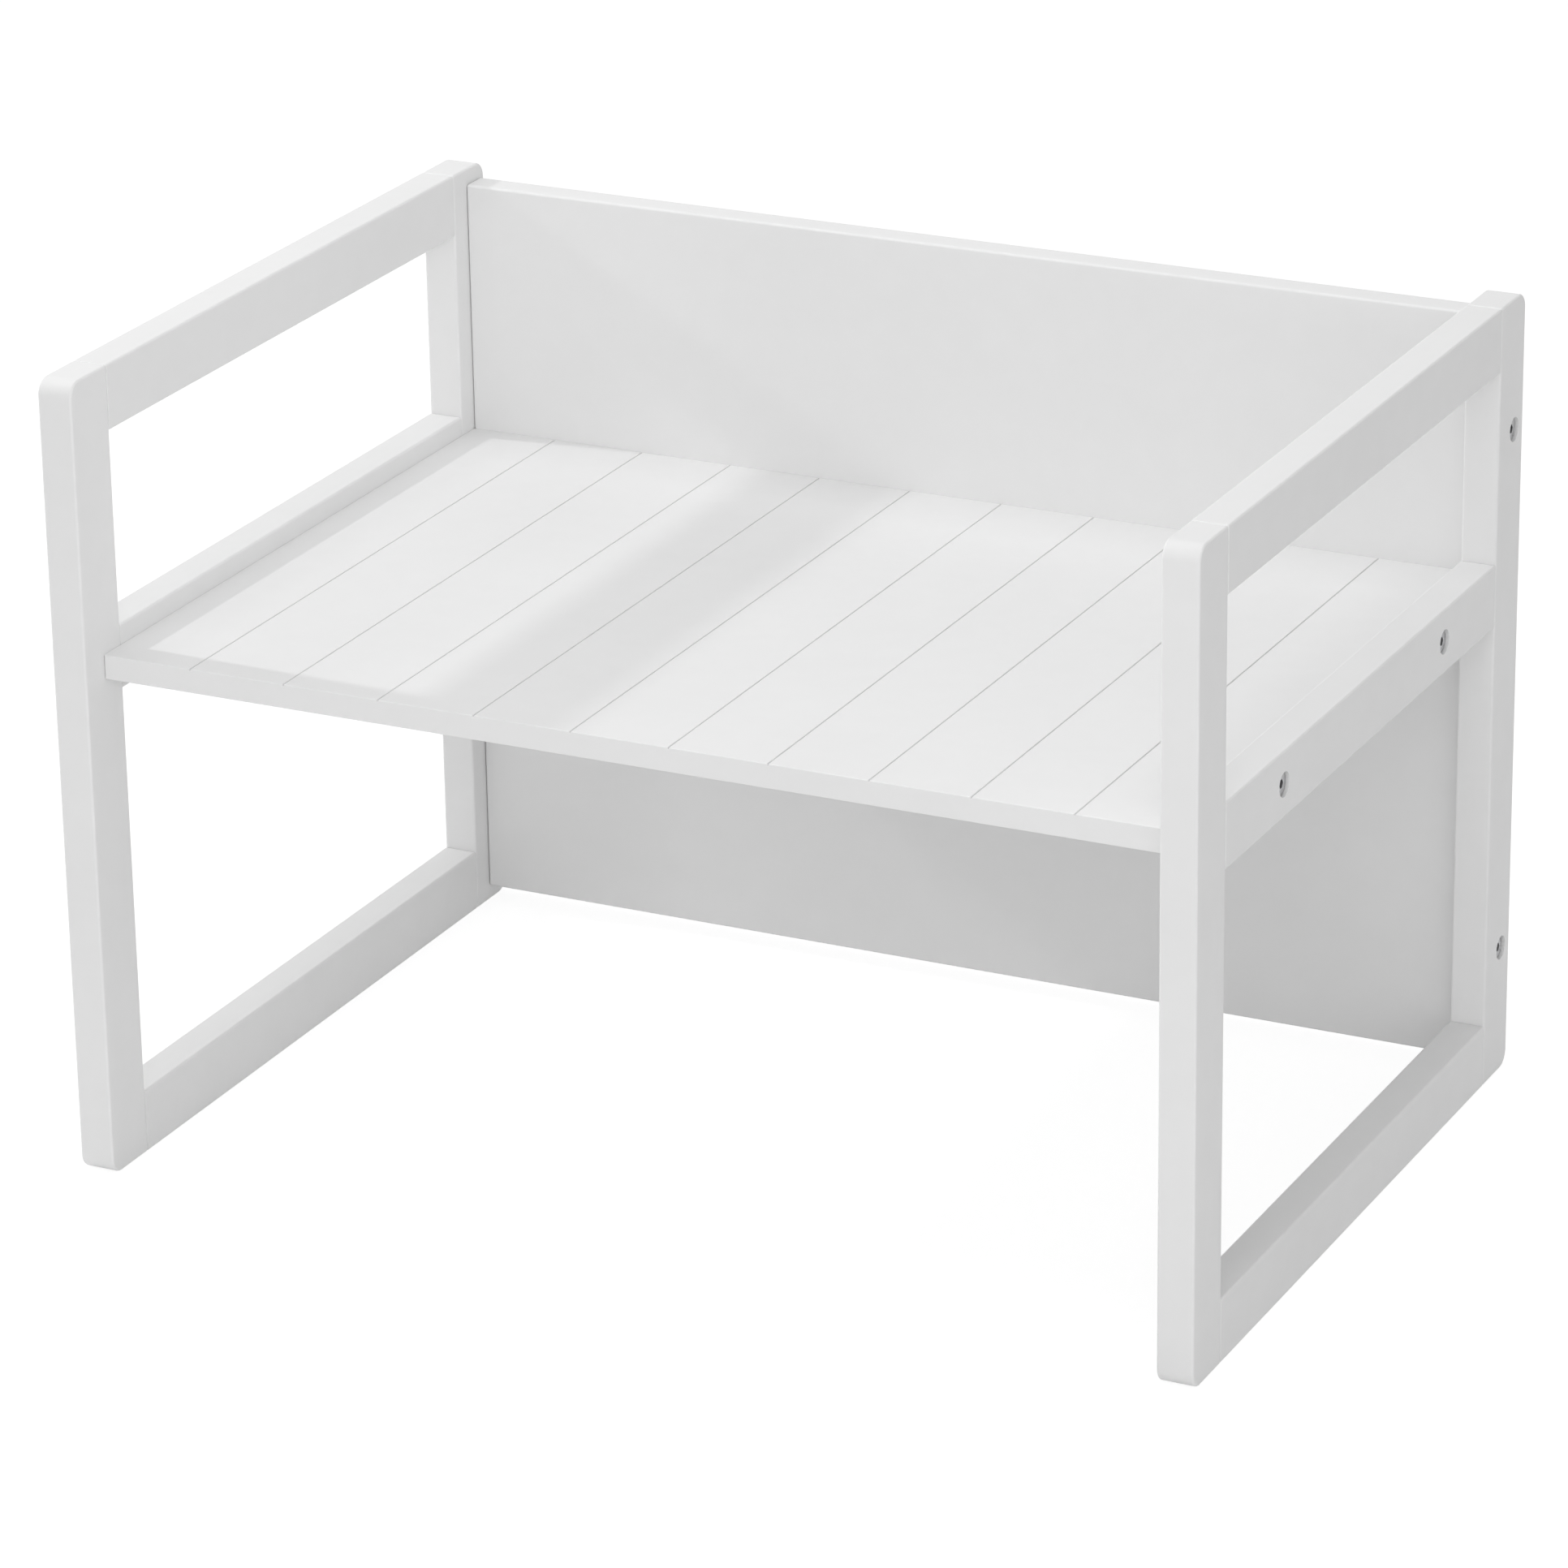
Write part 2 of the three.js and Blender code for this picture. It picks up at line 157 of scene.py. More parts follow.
@dataclass
class MeshSketch:
    """Collects the corners and faces of one piece; corners in one place are shared."""

    places: list[Vector] = field(default_factory=list)
    arrises: list[float] = field(default_factory=list)
    faces: list[tuple[int, ...]] = field(default_factory=list)
    seen: dict[tuple[int, ...], int] = field(default_factory=dict)

    def corner(self, place: Vector, arris: float) -> int:
        """Adds a corner, or finds the one that is there already.

        Args:
            place: The corner's place in the shared frame.
            arris: How much the corner lies on a rounded edge, 0 to 1.

        Returns:
            The corner's number.
        """
        key = tuple(round(value / WELD) for value in place)
        if key not in self.seen:
            self.seen[key] = len(self.places)
            self.places.append(place.copy())
            self.arrises.append(arris)
        return self.seen[key]

    def face(self, corners: Sequence[int]) -> None:
        """Adds a face, without the corners that repeat.

        Args:
            corners: The corners' numbers in order.
        """
        kept = tuple(c for i, c in enumerate(corners) if c != corners[i - 1])
        if len(set(kept)) > 2:
            self.faces.append(kept)

    def skin(self, rings: Sequence[Sequence[int]]) -> None:
        """Joins closed rings of corners, each to the next.

        Args:
            rings: Rings with the same number of corners each.
        """
        for ring, following in zip(rings, rings[1:]):
            for i in range(len(ring)):
                self.face((ring[i - 1], ring[i], following[i], following[i - 1]))

    def finished(
        self, name: str, caps: Sequence[float], order: Sequence[Axis], seed: int
    ) -> bpy.types.Object:
        """Makes the object, with its flat end faces filled round their holes.

        Args:
            name: The piece's name.
            caps: The x of each flat end face.
            order: The axes that run along, across and through the piece.
            seed: A number of its own for each piece, so that no two show the same grain.

        Returns:
            The object, linked to the scene.
        """
        bm = bmesh.new()
        arris_layer, place_layer = mesh_layers(bm)
        middle = sum(self.places, Vector()) / len(self.places)
        shift = GRAIN_STEP * seed
        for place, arris in zip(self.places, self.arrises):
            vert = bm.verts.new(place)
            vert[arris_layer] = arris
            from_middle = place - middle
            vert[place_layer] = Vector([from_middle[axis.value] for axis in order]) + shift
        bm.verts.ensure_lookup_table()
        for corners in self.faces:
            bm.faces.new([bm.verts[c] for c in corners])
        for x in caps:
            rims = [
                edge for edge in bm.edges
                if edge.is_boundary and all(abs(vert.co.x - x) < WELD for vert in edge.verts)
            ]
            bmesh.ops.triangle_fill(bm, use_beauty=True, use_dissolve=False, edges=rims)
        bmesh.ops.recalc_face_normals(bm, faces=bm.faces)
        mesh = bpy.data.meshes.new(name)
        bm.to_mesh(mesh)
        bm.free()
        mesh.shade_smooth()
        mesh.set_sharp_from_angle(angle=CRISP_ANGLE)
        made = put_in_scene(name, mesh)
        normals = made.modifiers.new("flat faces stay flat", "WEIGHTED_NORMAL")
        normals.keep_sharp = True
        normals.weight = FLAT_FACE_WEIGHT
        return made


@dataclass(frozen=True)
class TurnedWall:
    """Draws round rings about an axis along X, each at a depth below one face."""

    sketch: MeshSketch
    face: float
    inward: int
    y: float
    z: float

    def corner(self, depth: float, radius: float, turn: float, arris: float) -> int:
        """Adds one corner.

        Args:
            depth: Its depth below the face.
            radius: Its distance from the axis.
            turn: Its angle round the axis.
            arris: How much it lies on a rounded edge, 0 to 1.

        Returns:
            The corner's number.
        """
        y, z = self.y + radius * math.cos(turn), self.z + radius * math.sin(turn)
        return self.sketch.corner(Vector((self.face + self.inward * depth, y, z)), arris)

    def ring(self, row: Turned, sides: int) -> list[int]:
        """Adds one ring.

        Args:
            row: Its depth, radius and arris.
            sides: The number of its corners.

        Returns:
            The corners' numbers.
        """
        depth, radius, arris = row
        return [self.corner(depth, radius, 2 * math.pi * i / sides, arris) for i in range(sides)]


@dataclass(frozen=True)
class Outline:
    """A rectangle in the side view with a radius of its own at each corner."""

    low: tuple[float, float]
    high: tuple[float, float]
    radii: Radii
    large_radius: float = 4 * MM
    large_steps: int = 12
    small_steps: int = 4

    def points(self, inset: Inset = (0.0, 0.0, 0.0)) -> list[tuple[float, float, float]]:
        """The outline's corners in order.

        Args:
            inset: How far its sides are moved inwards.

        Returns:
            For each corner its y and z, and how much it lies on a small rounded edge.
        """
        made = []
        for number, radius in enumerate(self.radii):
            steps = self.large_steps if radius > self.large_radius else self.small_steps
            front, bottom = number in (0, 3), number in (0, 1)
            across, level = inset[0] if front else inset[1], inset[2]
            left = max(radius - max(across, level), 0.0)
            y = self.low[0] + across + left if front else self.high[0] - across - left
            z = self.low[1] + level + left if bottom else self.high[1] - level - left
            for step in range(steps + 1):
                turn = (number + 2 + step / steps) * math.pi / 2
                arris = 0.0 if radius > self.large_radius else math.sin(step / steps * math.pi)
                made.append((y + left * math.cos(turn), z + left * math.sin(turn), arris))
        return made


@dataclass(frozen=True)
class Station:
    """One ring of a slab.

    The ease is how far it is drawn in, as a share of the end face's inset, the drop how far its upper
    face is cut down, and the arris how much it lies on a rounded edge.
    """

    x: float
    ease: float = 0.0
    drop: float = 0.0
    arris: float = 0.0


@dataclass(frozen=True)
class Bore:
    """A round hole along X that starts in an end face; a last radius of 0 closes it."""

    y: float
    z: float
    section: tuple[Turned, ...]
    sides: int

    def cut(self, sketch: MeshSketch, face: float, inward: int) -> None:
        """Adds the wall to a sketch, from the face's x towards higher x if inward is 1, or lower."""
        wall = TurnedWall(sketch, face, inward, self.y, self.z)
        sketch.skin([wall.ring(row, self.sides) for row in self.section])


def bores_at(
    screws: Sequence[str], inward: int, section: tuple[Turned, ...], sides: int
) -> list[tuple[int, Bore]]:
    """The like holes that a bar or a board has for its screws.

    Args:
        screws: The screws' names.
        inward: The way that the holes go along X, 1 or -1.
        section: The holes' section.
        sides: The number of facets round each hole.

    Returns:
        For each hole the way that it goes and the hole.
    """
    made = []
    for screw in screws:
        low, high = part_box(screw)
        middle = (low + high) / 2
        made.append((inward, Bore(middle.y, middle.z, section, sides)))
    return made


@dataclass
class Slab:
    """A flat bar or board with rounded edges, holes in its end faces and grooves in its upper face.

    The end faces' edges are rounded over a depth of rim, and their sides are drawn in there by the
    insets, first at the lowest x, then at the highest. The order names the axes that run along,
    across and through the slab, and each bore comes with the way that it goes.
    """

    name: str
    node: str
    low: Vector
    high: Vector
    radii: Radii
    insets: tuple[Inset, Inset]
    rim: float
    order: tuple[Axis, Axis, Axis]
    seed: int
    bores: list[tuple[int, Bore]] = field(default_factory=list)
    grooves: list[Station] = field(default_factory=list)
    rim_steps: int = 4

    def eased_end(self, face: float, inward: int) -> list[Station]:
        """The rings that round the edge of an end face.

        Args:
            face: The end face's x.
            inward: 1 where the slab goes on towards higher x, or -1.

        Returns:
            The stations, from the end face inwards.
        """
        return [
            Station(face + inward * self.rim * depth, ease=ease, arris=arris)
            for depth, ease, arris in quarter_round(self.rim_steps)
        ]

    def stations(self) -> list[Station]:
        """Every ring from the lowest to the highest x."""
        start, end = self.eased_end(self.low.x, 1), self.eased_end(self.high.x, -1)
        return [*start, *self.grooves, *reversed(end)]

    def build(self) -> bpy.types.Object:
        """Makes the slab.

        Returns:
            The slab's object.
        """
        outline = Outline((self.low.y, self.low.z), (self.high.y, self.high.z), self.radii)
        full, ends = outline.points(), [outline.points(inset) for inset in self.insets]
        sketch = MeshSketch()
        rings = []
        for station in self.stations():
            ring = []
            drawn_in = ends[station.x > (self.low.x + self.high.x) / 2]
            for (y0, z0, arris), (y1, z1, _) in zip(full, drawn_in):
                y = y0 + (y1 - y0) * station.ease
                z = min(z0 + (z1 - z0) * station.ease, self.high.z - station.drop)
                ring.append(sketch.corner(Vector((station.x, y, z)), max(arris, station.arris)))
            rings.append(ring)
        sketch.skin(rings)
        for inward, bore in self.bores:
            bore.cut(sketch, self.low.x if inward > 0 else self.high.x, inward)
        return sketch.finished(self.name, (self.low.x, self.high.x), self.order, self.seed)


@dataclass
class NodeDesk:
    """Lays out the nodes of one tree and joins them."""

    tree: bpy.types.NodeTree

    def node(self, kind: str, **settings: object) -> bpy.types.Node:
        """Adds a node.

        Args:
            kind: The node's type.
            **settings: Properties to set on it.

        Returns:
            The node.
        """
        made = self.tree.nodes.new(kind)
        for name, value in settings.items():
            setattr(made, name, value)
        return made

    def feed(self, socket: bpy.types.NodeSocket, value: Feed) -> None:
        """Links another socket to an input, or sets its value.

        Args:
            socket: The input.
            value: The other socket, or the value.
        """
        if isinstance(value, bpy.types.NodeSocket):
            self.tree.links.new(value, socket)
        else:
            socket.default_value = value

    def math(self, operation: str, a: Feed, b: Feed) -> bpy.types.NodeSocket:
        """Adds a Math node.

        Args:
            operation: The node's operation.
            a: The first value.
            b: The second value.

        Returns:
            The result's socket.
        """
        made = self.node("ShaderNodeMath", operation=operation)
        self.feed(made.inputs[0], a)
        self.feed(made.inputs[1], b)
        return made.outputs[0]

    def weigh(self, a: Feed, b: Feed, share: float) -> bpy.types.NodeSocket:
        """Adds two values up, each with its share; the second value's share is the rest of 1."""
        return self.math("ADD", self.math("MULTIPLY", a, share), self.math("MULTIPLY", b, 1 - share))

    def span(
        self, value: Feed, low: float, high: float, start: float = 0.0, end: float = 1.0
    ) -> bpy.types.NodeSocket:
        """Maps a value smoothly from one span to another.

        Args:
            value: The value.
            low: What it is at the start of the first span.
            high: What it is at the end of the first span.
            start: The start of the second span.
            end: The end of the second span.

        Returns:
            The result's socket.
        """
        made = self.node("ShaderNodeMapRange", interpolation_type="SMOOTHSTEP")
        for number, fed in enumerate((value, low, high, start, end)):
            self.feed(made.inputs[number], fed)
        return made.outputs[0]

    def stretch(self, vector: Feed, scale: Feed) -> bpy.types.NodeSocket:
        """Multiplies a vector by another, part by part.

        Args:
            vector: The vector.
            scale: The other vector.

        Returns:
            The result's socket.
        """
        made = self.node("ShaderNodeVectorMath", operation="MULTIPLY")
        self.feed(made.inputs[0], vector)
        self.feed(made.inputs[1], scale)
        return made.outputs[0]

    def noise(
        self, vector: Feed, scale: Feed, detail: float, roughness: float = 0.5
    ) -> bpy.types.NodeSocket:
        """Adds a noise texture.

        Args:
            vector: Where it is read.
            scale: Its scale, in waves a metre.
            detail: The number of finer layers.
            roughness: How strong the finer layers are.

        Returns:
            The value's socket, 0 to 1.
        """
        made = self.node("ShaderNodeTexNoise")
        given = {"Vector": vector, "Scale": scale, "Detail": detail, "Roughness": roughness}
        for name, fed in given.items():
            self.feed(made.inputs[name], fed)
        return made.outputs[0]

    def blend(self, factor: Feed, low: Feed, high: Feed) -> bpy.types.NodeSocket:
        """Mixes two colours.

        Args:
            factor: 0 for the first colour, 1 for the second.
            low: The first colour.
            high: The second colour.

        Returns:
            The mixed colour's socket.
        """
        made = self.node("ShaderNodeMix", data_type="RGBA")
        self.feed(made.inputs["Factor"], factor)
        for number, fed in zip(MIX_COLOURS, (low, high)):
            self.feed(made.inputs[number], fed if isinstance(fed, bpy.types.NodeSocket) else (*fed, 1.0))
        return made.outputs[MIXED_COLOUR]

    def bump(
        self, height: Feed, strength: float, distance: float, normal: Feed | None = None
    ) -> bpy.types.NodeSocket:
        """Adds a Bump node.

        Args:
            height: The height's socket, 0 to 1.
            strength: How strongly it shows.
            distance: How high 1 stands.
            normal: The normal that it starts from, if it isn't the surface's own.

        Returns:
            The normal's socket.
        """
        made = self.node("ShaderNodeBump")
        made.inputs["Strength"].default_value = strength
        made.inputs["Distance"].default_value = distance
        self.feed(made.inputs["Height"], height)
        if normal is not None:
            self.feed(made.inputs["Normal"], normal)
        return made.outputs[0]

    def attribute(self, name: str, output: str) -> bpy.types.NodeSocket:
        """Reads a layer of the mesh."""
        return self.node("ShaderNodeAttribute", attribute_name=name).outputs[output]


@dataclass(frozen=True)
class Effect:
    """A surface effect that finishes share: a node group with a place, one number and one output."""

    name: str = ""
    number: str = ""
    default: float = 0.0
    output: str = "Mask"

    def fill(self, desk: NodeDesk, place: Feed, number: Feed) -> bpy.types.NodeSocket:
        """Lays out the group's inside and gives the result's socket; each effect has its own."""
        raise NotImplementedError(self.name)


@dataclass(frozen=True)
class Cloud(Effect):
    """Broad soft patches, as lacquer dries a little unevenly."""

    name: str = "cloud"
    number: str = "Waves"
    default: float = 9.0
    detail: float = 3.0
    roughness: float = 0.55
    low: float = 0.3
    high: float = 0.7

    def fill(self, desk: NodeDesk, place: Feed, number: Feed) -> bpy.types.NodeSocket:
        """Lays out one broad noise with more contrast."""
        broad = desk.noise(place, number, self.detail, self.roughness)
        return desk.span(broad, self.low, self.high)


@dataclass(frozen=True)
class Layered(Effect):
    """A fine noise over a coarser one, both drawn out alike."""

    output: str = "Height"
    drawn_out: Point = (1.0, 1.0, 1.0)
    fine_detail: float = 2.0
    fine_roughness: float = 0.5
    fine_share: float = 0.5
    coarse_detail: float = 1.0
    coarse_scale_share: float = 0.5

    def fill(self, desk: NodeDesk, place: Feed, number: Feed) -> bpy.types.NodeSocket:
        """Lays out the two noises.

        Args:
            desk: The group's desk.
            place: The place's socket.
            number: The socket of the fine noise's scale.

        Returns:
            The height's socket.
        """
        drawn = desk.stretch(place, self.drawn_out)
        fine = desk.noise(drawn, number, self.fine_detail, self.fine_roughness)
        coarse_scale = desk.math("MULTIPLY", number, self.coarse_scale_share)
        return desk.weigh(fine, desk.noise(drawn, coarse_scale, self.coarse_detail), self.fine_share)


@dataclass(frozen=True)
class Grain(Layered):
    """Long fibres along the piece over broader bands, as wood shows faintly through lacquer."""

    name: str = "grain"
    number: str = "Fibres"
    default: float = 900.0
    drawn_out: Point = (0.06, 1.0, 1.0)
    fine_detail: float = 4.0
    fine_roughness: float = 0.6
    fine_share: float = 0.6
    coarse_detail: float = 2.0
    coarse_scale_share: float = 0.12


@dataclass(frozen=True)
class OrangePeel(Layered):
    """The fine roundish unevenness of a sprayed film."""

    name: str = "orange peel"
    number: str = "Waves"
    default: float = 520.0
    fine_roughness: float = 0.4
    coarse_scale_share: float = 0.33


@dataclass(frozen=True)
class EdgeWear(Effect):
    """The rounded edges, broken up along their length: rubbed wear on the zinc, and a painted highlight
    on the lacquer.
    """

    name: str = "edge wear"
    number: str = "Waves"
    default: float = 60.0
    detail: float = 4.0
    roughness: float = 0.6
    low: float = 0.35
    high: float = 0.70
    least: float = 0.3

    def fill(self, desk: NodeDesk, place: Feed, number: Feed) -> bpy.types.NodeSocket:
        """Lays out the edges' mask, broken up by patches.

        Args:
            desk: The group's desk.
            place: The place's socket.
            number: The socket of the number of waves a metre.

        Returns:
            The mask's socket.
        """
        broken = desk.noise(place, number, self.detail, self.roughness)
        patches = desk.span(broken, self.low, self.high, self.least)
        return desk.math("MULTIPLY", desk.attribute("arris", "Fac"), patches)


@dataclass(frozen=True)
class Scratches(Effect):
    """Fine lines drawn round or along a turned piece."""

    name: str = "scratches"
    number: str = "Lines"
    default: float = 2600.0
    output: str = "Height"
    drawn_out: Point = (1.0, 0.15, 0.15)
    detail: float = 3.0
    roughness: float = 0.7

    def fill(self, desk: NodeDesk, place: Feed, number: Feed) -> bpy.types.NodeSocket:
        """Lays out one noise, drawn out into lines."""
        drawn = desk.stretch(place, self.drawn_out)
        return desk.noise(drawn, number, self.detail, self.roughness)


@dataclass
class EffectShelf:
    """Builds each effect's node group once, and places it in the finishes."""

    made: dict[str, bpy.types.NodeTree] = field(default_factory=dict)

    def group(self, effect: Effect) -> bpy.types.NodeTree:
        """Finds an effect's node group, or builds it.

        Args:
            effect: The effect.

        Returns:
            The node group.
        """
        if effect.name in self.made:
            return self.made[effect.name]
        tree = bpy.data.node_groups.new(effect.name, "ShaderNodeTree")
        sockets = tree.interface
        sockets.new_socket(name="Place", in_out="INPUT", socket_type="NodeSocketVector")
        number = sockets.new_socket(name=effect.number, in_out="INPUT", socket_type="NodeSocketFloat")
        number.default_value = effect.default
        sockets.new_socket(name=effect.output, in_out="OUTPUT", socket_type="NodeSocketFloat")
        desk = NodeDesk(tree)
        entry, leave = desk.node("NodeGroupInput"), desk.node("NodeGroupOutput")
        filled = effect.fill(desk, entry.outputs["Place"], entry.outputs[effect.number])
        desk.feed(leave.inputs[effect.output], filled)
        self.made[effect.name] = tree
        return tree

    def place(
        self, desk: NodeDesk, effect: Effect, place: Feed, number: float
    ) -> bpy.types.NodeSocket:
        """Places an effect in a material.

        Args:
            desk: The material's desk.
            effect: The effect.
            place: Where it is read.
            number: What its number is in this material.

        Returns:
            The socket of its output.
        """
        made = desk.node("ShaderNodeGroup", node_tree=self.group(effect))
        desk.feed(made.inputs["Place"], place)
        desk.feed(made.inputs[effect.number], number)
        return made.outputs[effect.output]


def new_material(name: str) -> tuple[bpy.types.Material, NodeDesk, bpy.types.Node, bpy.types.Node]:
    """Starts a material with an empty tree.

    Args:
        name: The material's name.

    Returns:
        The material, its desk, its Principled shader and its output node.
    """
    material = bpy.data.materials.new(name)
    material.use_nodes = True
    material.node_tree.nodes.clear()
    desk = NodeDesk(material.node_tree)
    shader, output = desk.node("ShaderNodeBsdfPrincipled"), desk.node("ShaderNodeOutputMaterial")
    desk.feed(output.inputs["Surface"], shader.outputs[0])
    return material, desk, shader, output


@dataclass(frozen=True)
class SatinLacquer:
    """White satin lacquer, sprayed on sanded wood, with a painted highlight along its rounded edges."""

    name: str = "satin_white_lacquer"
    thin: Colour = (0.792, 0.792, 0.792)
    thick: Colour = (0.812, 0.812, 0.812)
    # Painted highlight: the rounded edges and seams of the lacquer are painted this lighter tone, as if
    # light caught them.
    rubbed: Colour = (0.84, 0.84, 0.84)
    matt: float = 0.60
    sleek: float = 0.50
    cloud_waves: float = 9.0
    fleck_waves: float = 70.0
    wear_waves: float = 60.0
    fibres: float = 900.0
    peel_waves: float = 520.0
    cloud_share: float = 0.7
    fleck_share: float = 0.5
    bump_strength: float = 0.5
    grain_height: float = 0.02 * MM
    peel_height: float = 0.012 * MM

    def build(self, effects: EffectShelf) -> bpy.types.Material:
        """Makes the material.

        Args:
            effects: The shared effects.

        Returns:
            The material.
        """
        material, desk, shader, _ = new_material(self.name)
        place = desk.attribute("place", "Vector")
        cloud = effects.place(desk, Cloud(), place, self.cloud_waves)
        flecks = effects.place(desk, Cloud(), place, self.fleck_waves)
        wear_and_highlight = effects.place(desk, EdgeWear(), place, self.wear_waves)
        grain = effects.place(desk, Grain(), place, self.fibres)
        peel = effects.place(desk, OrangePeel(), place, self.peel_waves)
        film = desk.blend(desk.weigh(cloud, flecks, self.cloud_share), self.thin, self.thick)
        # The edge mask paints the rounded edges lighter: a painted highlight, not wear.
        desk.feed(shader.inputs["Base Color"], desk.blend(wear_and_highlight, film, self.rubbed))
        sheen = desk.weigh(flecks, wear_and_highlight, self.fleck_share)
        desk.feed(shader.inputs["Roughness"], desk.span(sheen, 0.0, 1.0, self.matt, self.sleek))
        wood = desk.bump(grain, self.bump_strength, self.grain_height)
        desk.feed(shader.inputs["Normal"], desk.bump(peel, self.bump_strength, self.peel_height, wood))
        return material


@dataclass(frozen=True)
class ZincPlate:
    """Bright zinc plate on a machined screw, with rubbed edges."""

    name: str = "bright_zinc_plate"
    dull: Colour = (0.37, 0.373, 0.38)
    clean: Colour = (0.52, 0.523, 0.53)
    rubbed: Colour = (0.80, 0.803, 0.81)
    matt: float = 0.46
    sleek: float = 0.28
    cloud_waves: float = 260.0
    wear_waves: float = 300.0
    lines: float = 2600.0
    line_span: tuple[float, float] = (0.3, 0.7)
    line_strength: float = 0.4
    line_height: float = 0.01 * MM

    def build(self, effects: EffectShelf) -> bpy.types.Material:
        """Makes the material.

        Args:
            effects: The shared effects.

        Returns:
            The material.
        """
        material, desk, shader, _ = new_material(self.name)
        shader.inputs["Metallic"].default_value = 1.0
        place = desk.attribute("place", "Vector")
        cloud = effects.place(desk, Cloud(), place, self.cloud_waves)
        wear_and_highlight = effects.place(desk, EdgeWear(), place, self.wear_waves)
        lines = effects.place(desk, Scratches(), place, self.lines)
        plate = desk.blend(cloud, self.dull, self.clean)
        desk.feed(shader.inputs["Base Color"], desk.blend(wear_and_highlight, plate, self.rubbed))
        desk.feed(shader.inputs["Roughness"], desk.span(lines, *self.line_span, self.matt, self.sleek))
        desk.feed(shader.inputs["Normal"], desk.bump(lines, self.line_strength, self.line_height))
        return material


@dataclass(frozen=True)
class DowelWood:
    """Plain beech, turned into dowels that lie along one axis."""

    along: Axis
    pale: Colour = (0.62, 0.43, 0.27)
    deep: Colour = (0.46, 0.28, 0.15)
    sleek: float = 0.55
    matt: float = 0.75
    fibres: float = 1400.0
    cloud_waves: float = 120.0
    grain_share: float = 0.8
    grain_span: tuple[float, float] = (0.2, 0.8)
    grain_strength: float = 0.6
    grain_height: float = 0.05 * MM

    def build(self, effects: EffectShelf) -> bpy.types.Material:
        """Makes the material.

        Args:
            effects: The shared effects.

        Returns:
            The material.
        """
        material, desk, shader, _ = new_material(f"beech_along_{self.along.name.lower()}")
        place = desk.node("ShaderNodeTexCoord").outputs["Object"]
        if self.along is Axis.Y:
            turned = desk.node("ShaderNodeMapping")
            turned.inputs["Rotation"].default_value = (0.0, 0.0, math.pi / 2)
            desk.feed(turned.inputs["Vector"], place)
            place = turned.outputs[0]
        grain = effects.place(desk, Grain(), place, self.fibres)
        cloud = effects.place(desk, Cloud(), place, self.cloud_waves)
        tone = desk.weigh(grain, cloud, self.grain_share)
        desk.feed(shader.inputs["Base Color"], desk.blend(tone, self.pale, self.deep))
        desk.feed(shader.inputs["Roughness"], desk.span(grain, *self.grain_span, self.sleek, self.matt))
        desk.feed(shader.inputs["Normal"], desk.bump(grain, self.grain_strength, self.grain_height))
        return material


def shown_ray(desk: NodeDesk) -> bpy.types.NodeSocket:
    """Tells the rays that show a backdrop: from the camera, in a reflection or through glass.

    Args:
        desk: The desk of the material or the world.

    Returns:
        The socket of a number that is 1 for those rays and 0 for the others.
    """
    rays = desk.node("ShaderNodeLightPath")
    direct = desk.math("MAXIMUM", rays.outputs["Is Camera Ray"], rays.outputs["Is Glossy Ray"])
    return desk.math("MAXIMUM", direct, rays.outputs["Is Transmission Ray"])


@dataclass(frozen=True)
class StudioFloor:
    """A white floor that shows as clean paper and keeps a faint shadow."""

    name: str = "studio_floor"
    reach: float = 14.0
    sides: int = 64
    height: float = -0.02 * MM
    glow: float = 0.855
    answer: Colour = (0.25, 0.25, 0.25)
    bounce: Colour = (0.89, 0.89, 0.89)

    def paper(self) -> bpy.types.Material:
        """Makes the floor's finish: bright paper to the rays that show it, plain white to all others.

        Returns:
            The material.
        """
        material, desk, bouncing, output = new_material(self.name)
        bouncing.inputs["Base Color"].default_value = (*self.bounce, 1.0)
        bouncing.inputs["Roughness"].default_value = 1.0
        bouncing.inputs["Specular IOR Level"].default_value = 0.0
        paper = desk.node("ShaderNodeBsdfDiffuse")
        paper.inputs["Color"].default_value = (*self.answer, 1.0)
        light = desk.node("ShaderNodeEmission")
        light.inputs["Strength"].default_value = self.glow
        shown = desk.node("ShaderNodeAddShader")
        desk.feed(shown.inputs[0], paper.outputs[0])
        desk.feed(shown.inputs[1], light.outputs[0])
        choice = desk.node("ShaderNodeMixShader")
        for number, fed in enumerate((shown_ray(desk), bouncing.outputs[0], shown.outputs[0])):
            desk.feed(choice.inputs[number], fed)
        desk.feed(output.inputs["Surface"], choice.outputs[0])
        return material

    def build(self) -> bpy.types.Object:
        """Makes the floor.

        Returns:
            The floor's object.
        """
        mesh = bpy.data.meshes.new(self.name)
        bm = bmesh.new()
        bmesh.ops.create_circle(bm, cap_ends=True, segments=self.sides, radius=self.reach)
        bmesh.ops.translate(bm, verts=bm.verts, vec=(0.0, 0.0, self.height))
        bm.to_mesh(mesh)
        bm.free()
        mesh.materials.append(self.paper())
        made = put_in_scene(self.name, mesh)
        return made


@dataclass(frozen=True)
class Glow:
    """One part of the studio's sky: the way that it comes from, and how strong and narrow it is."""

    name: str
    way: Point
    strength: float
    tightness: float


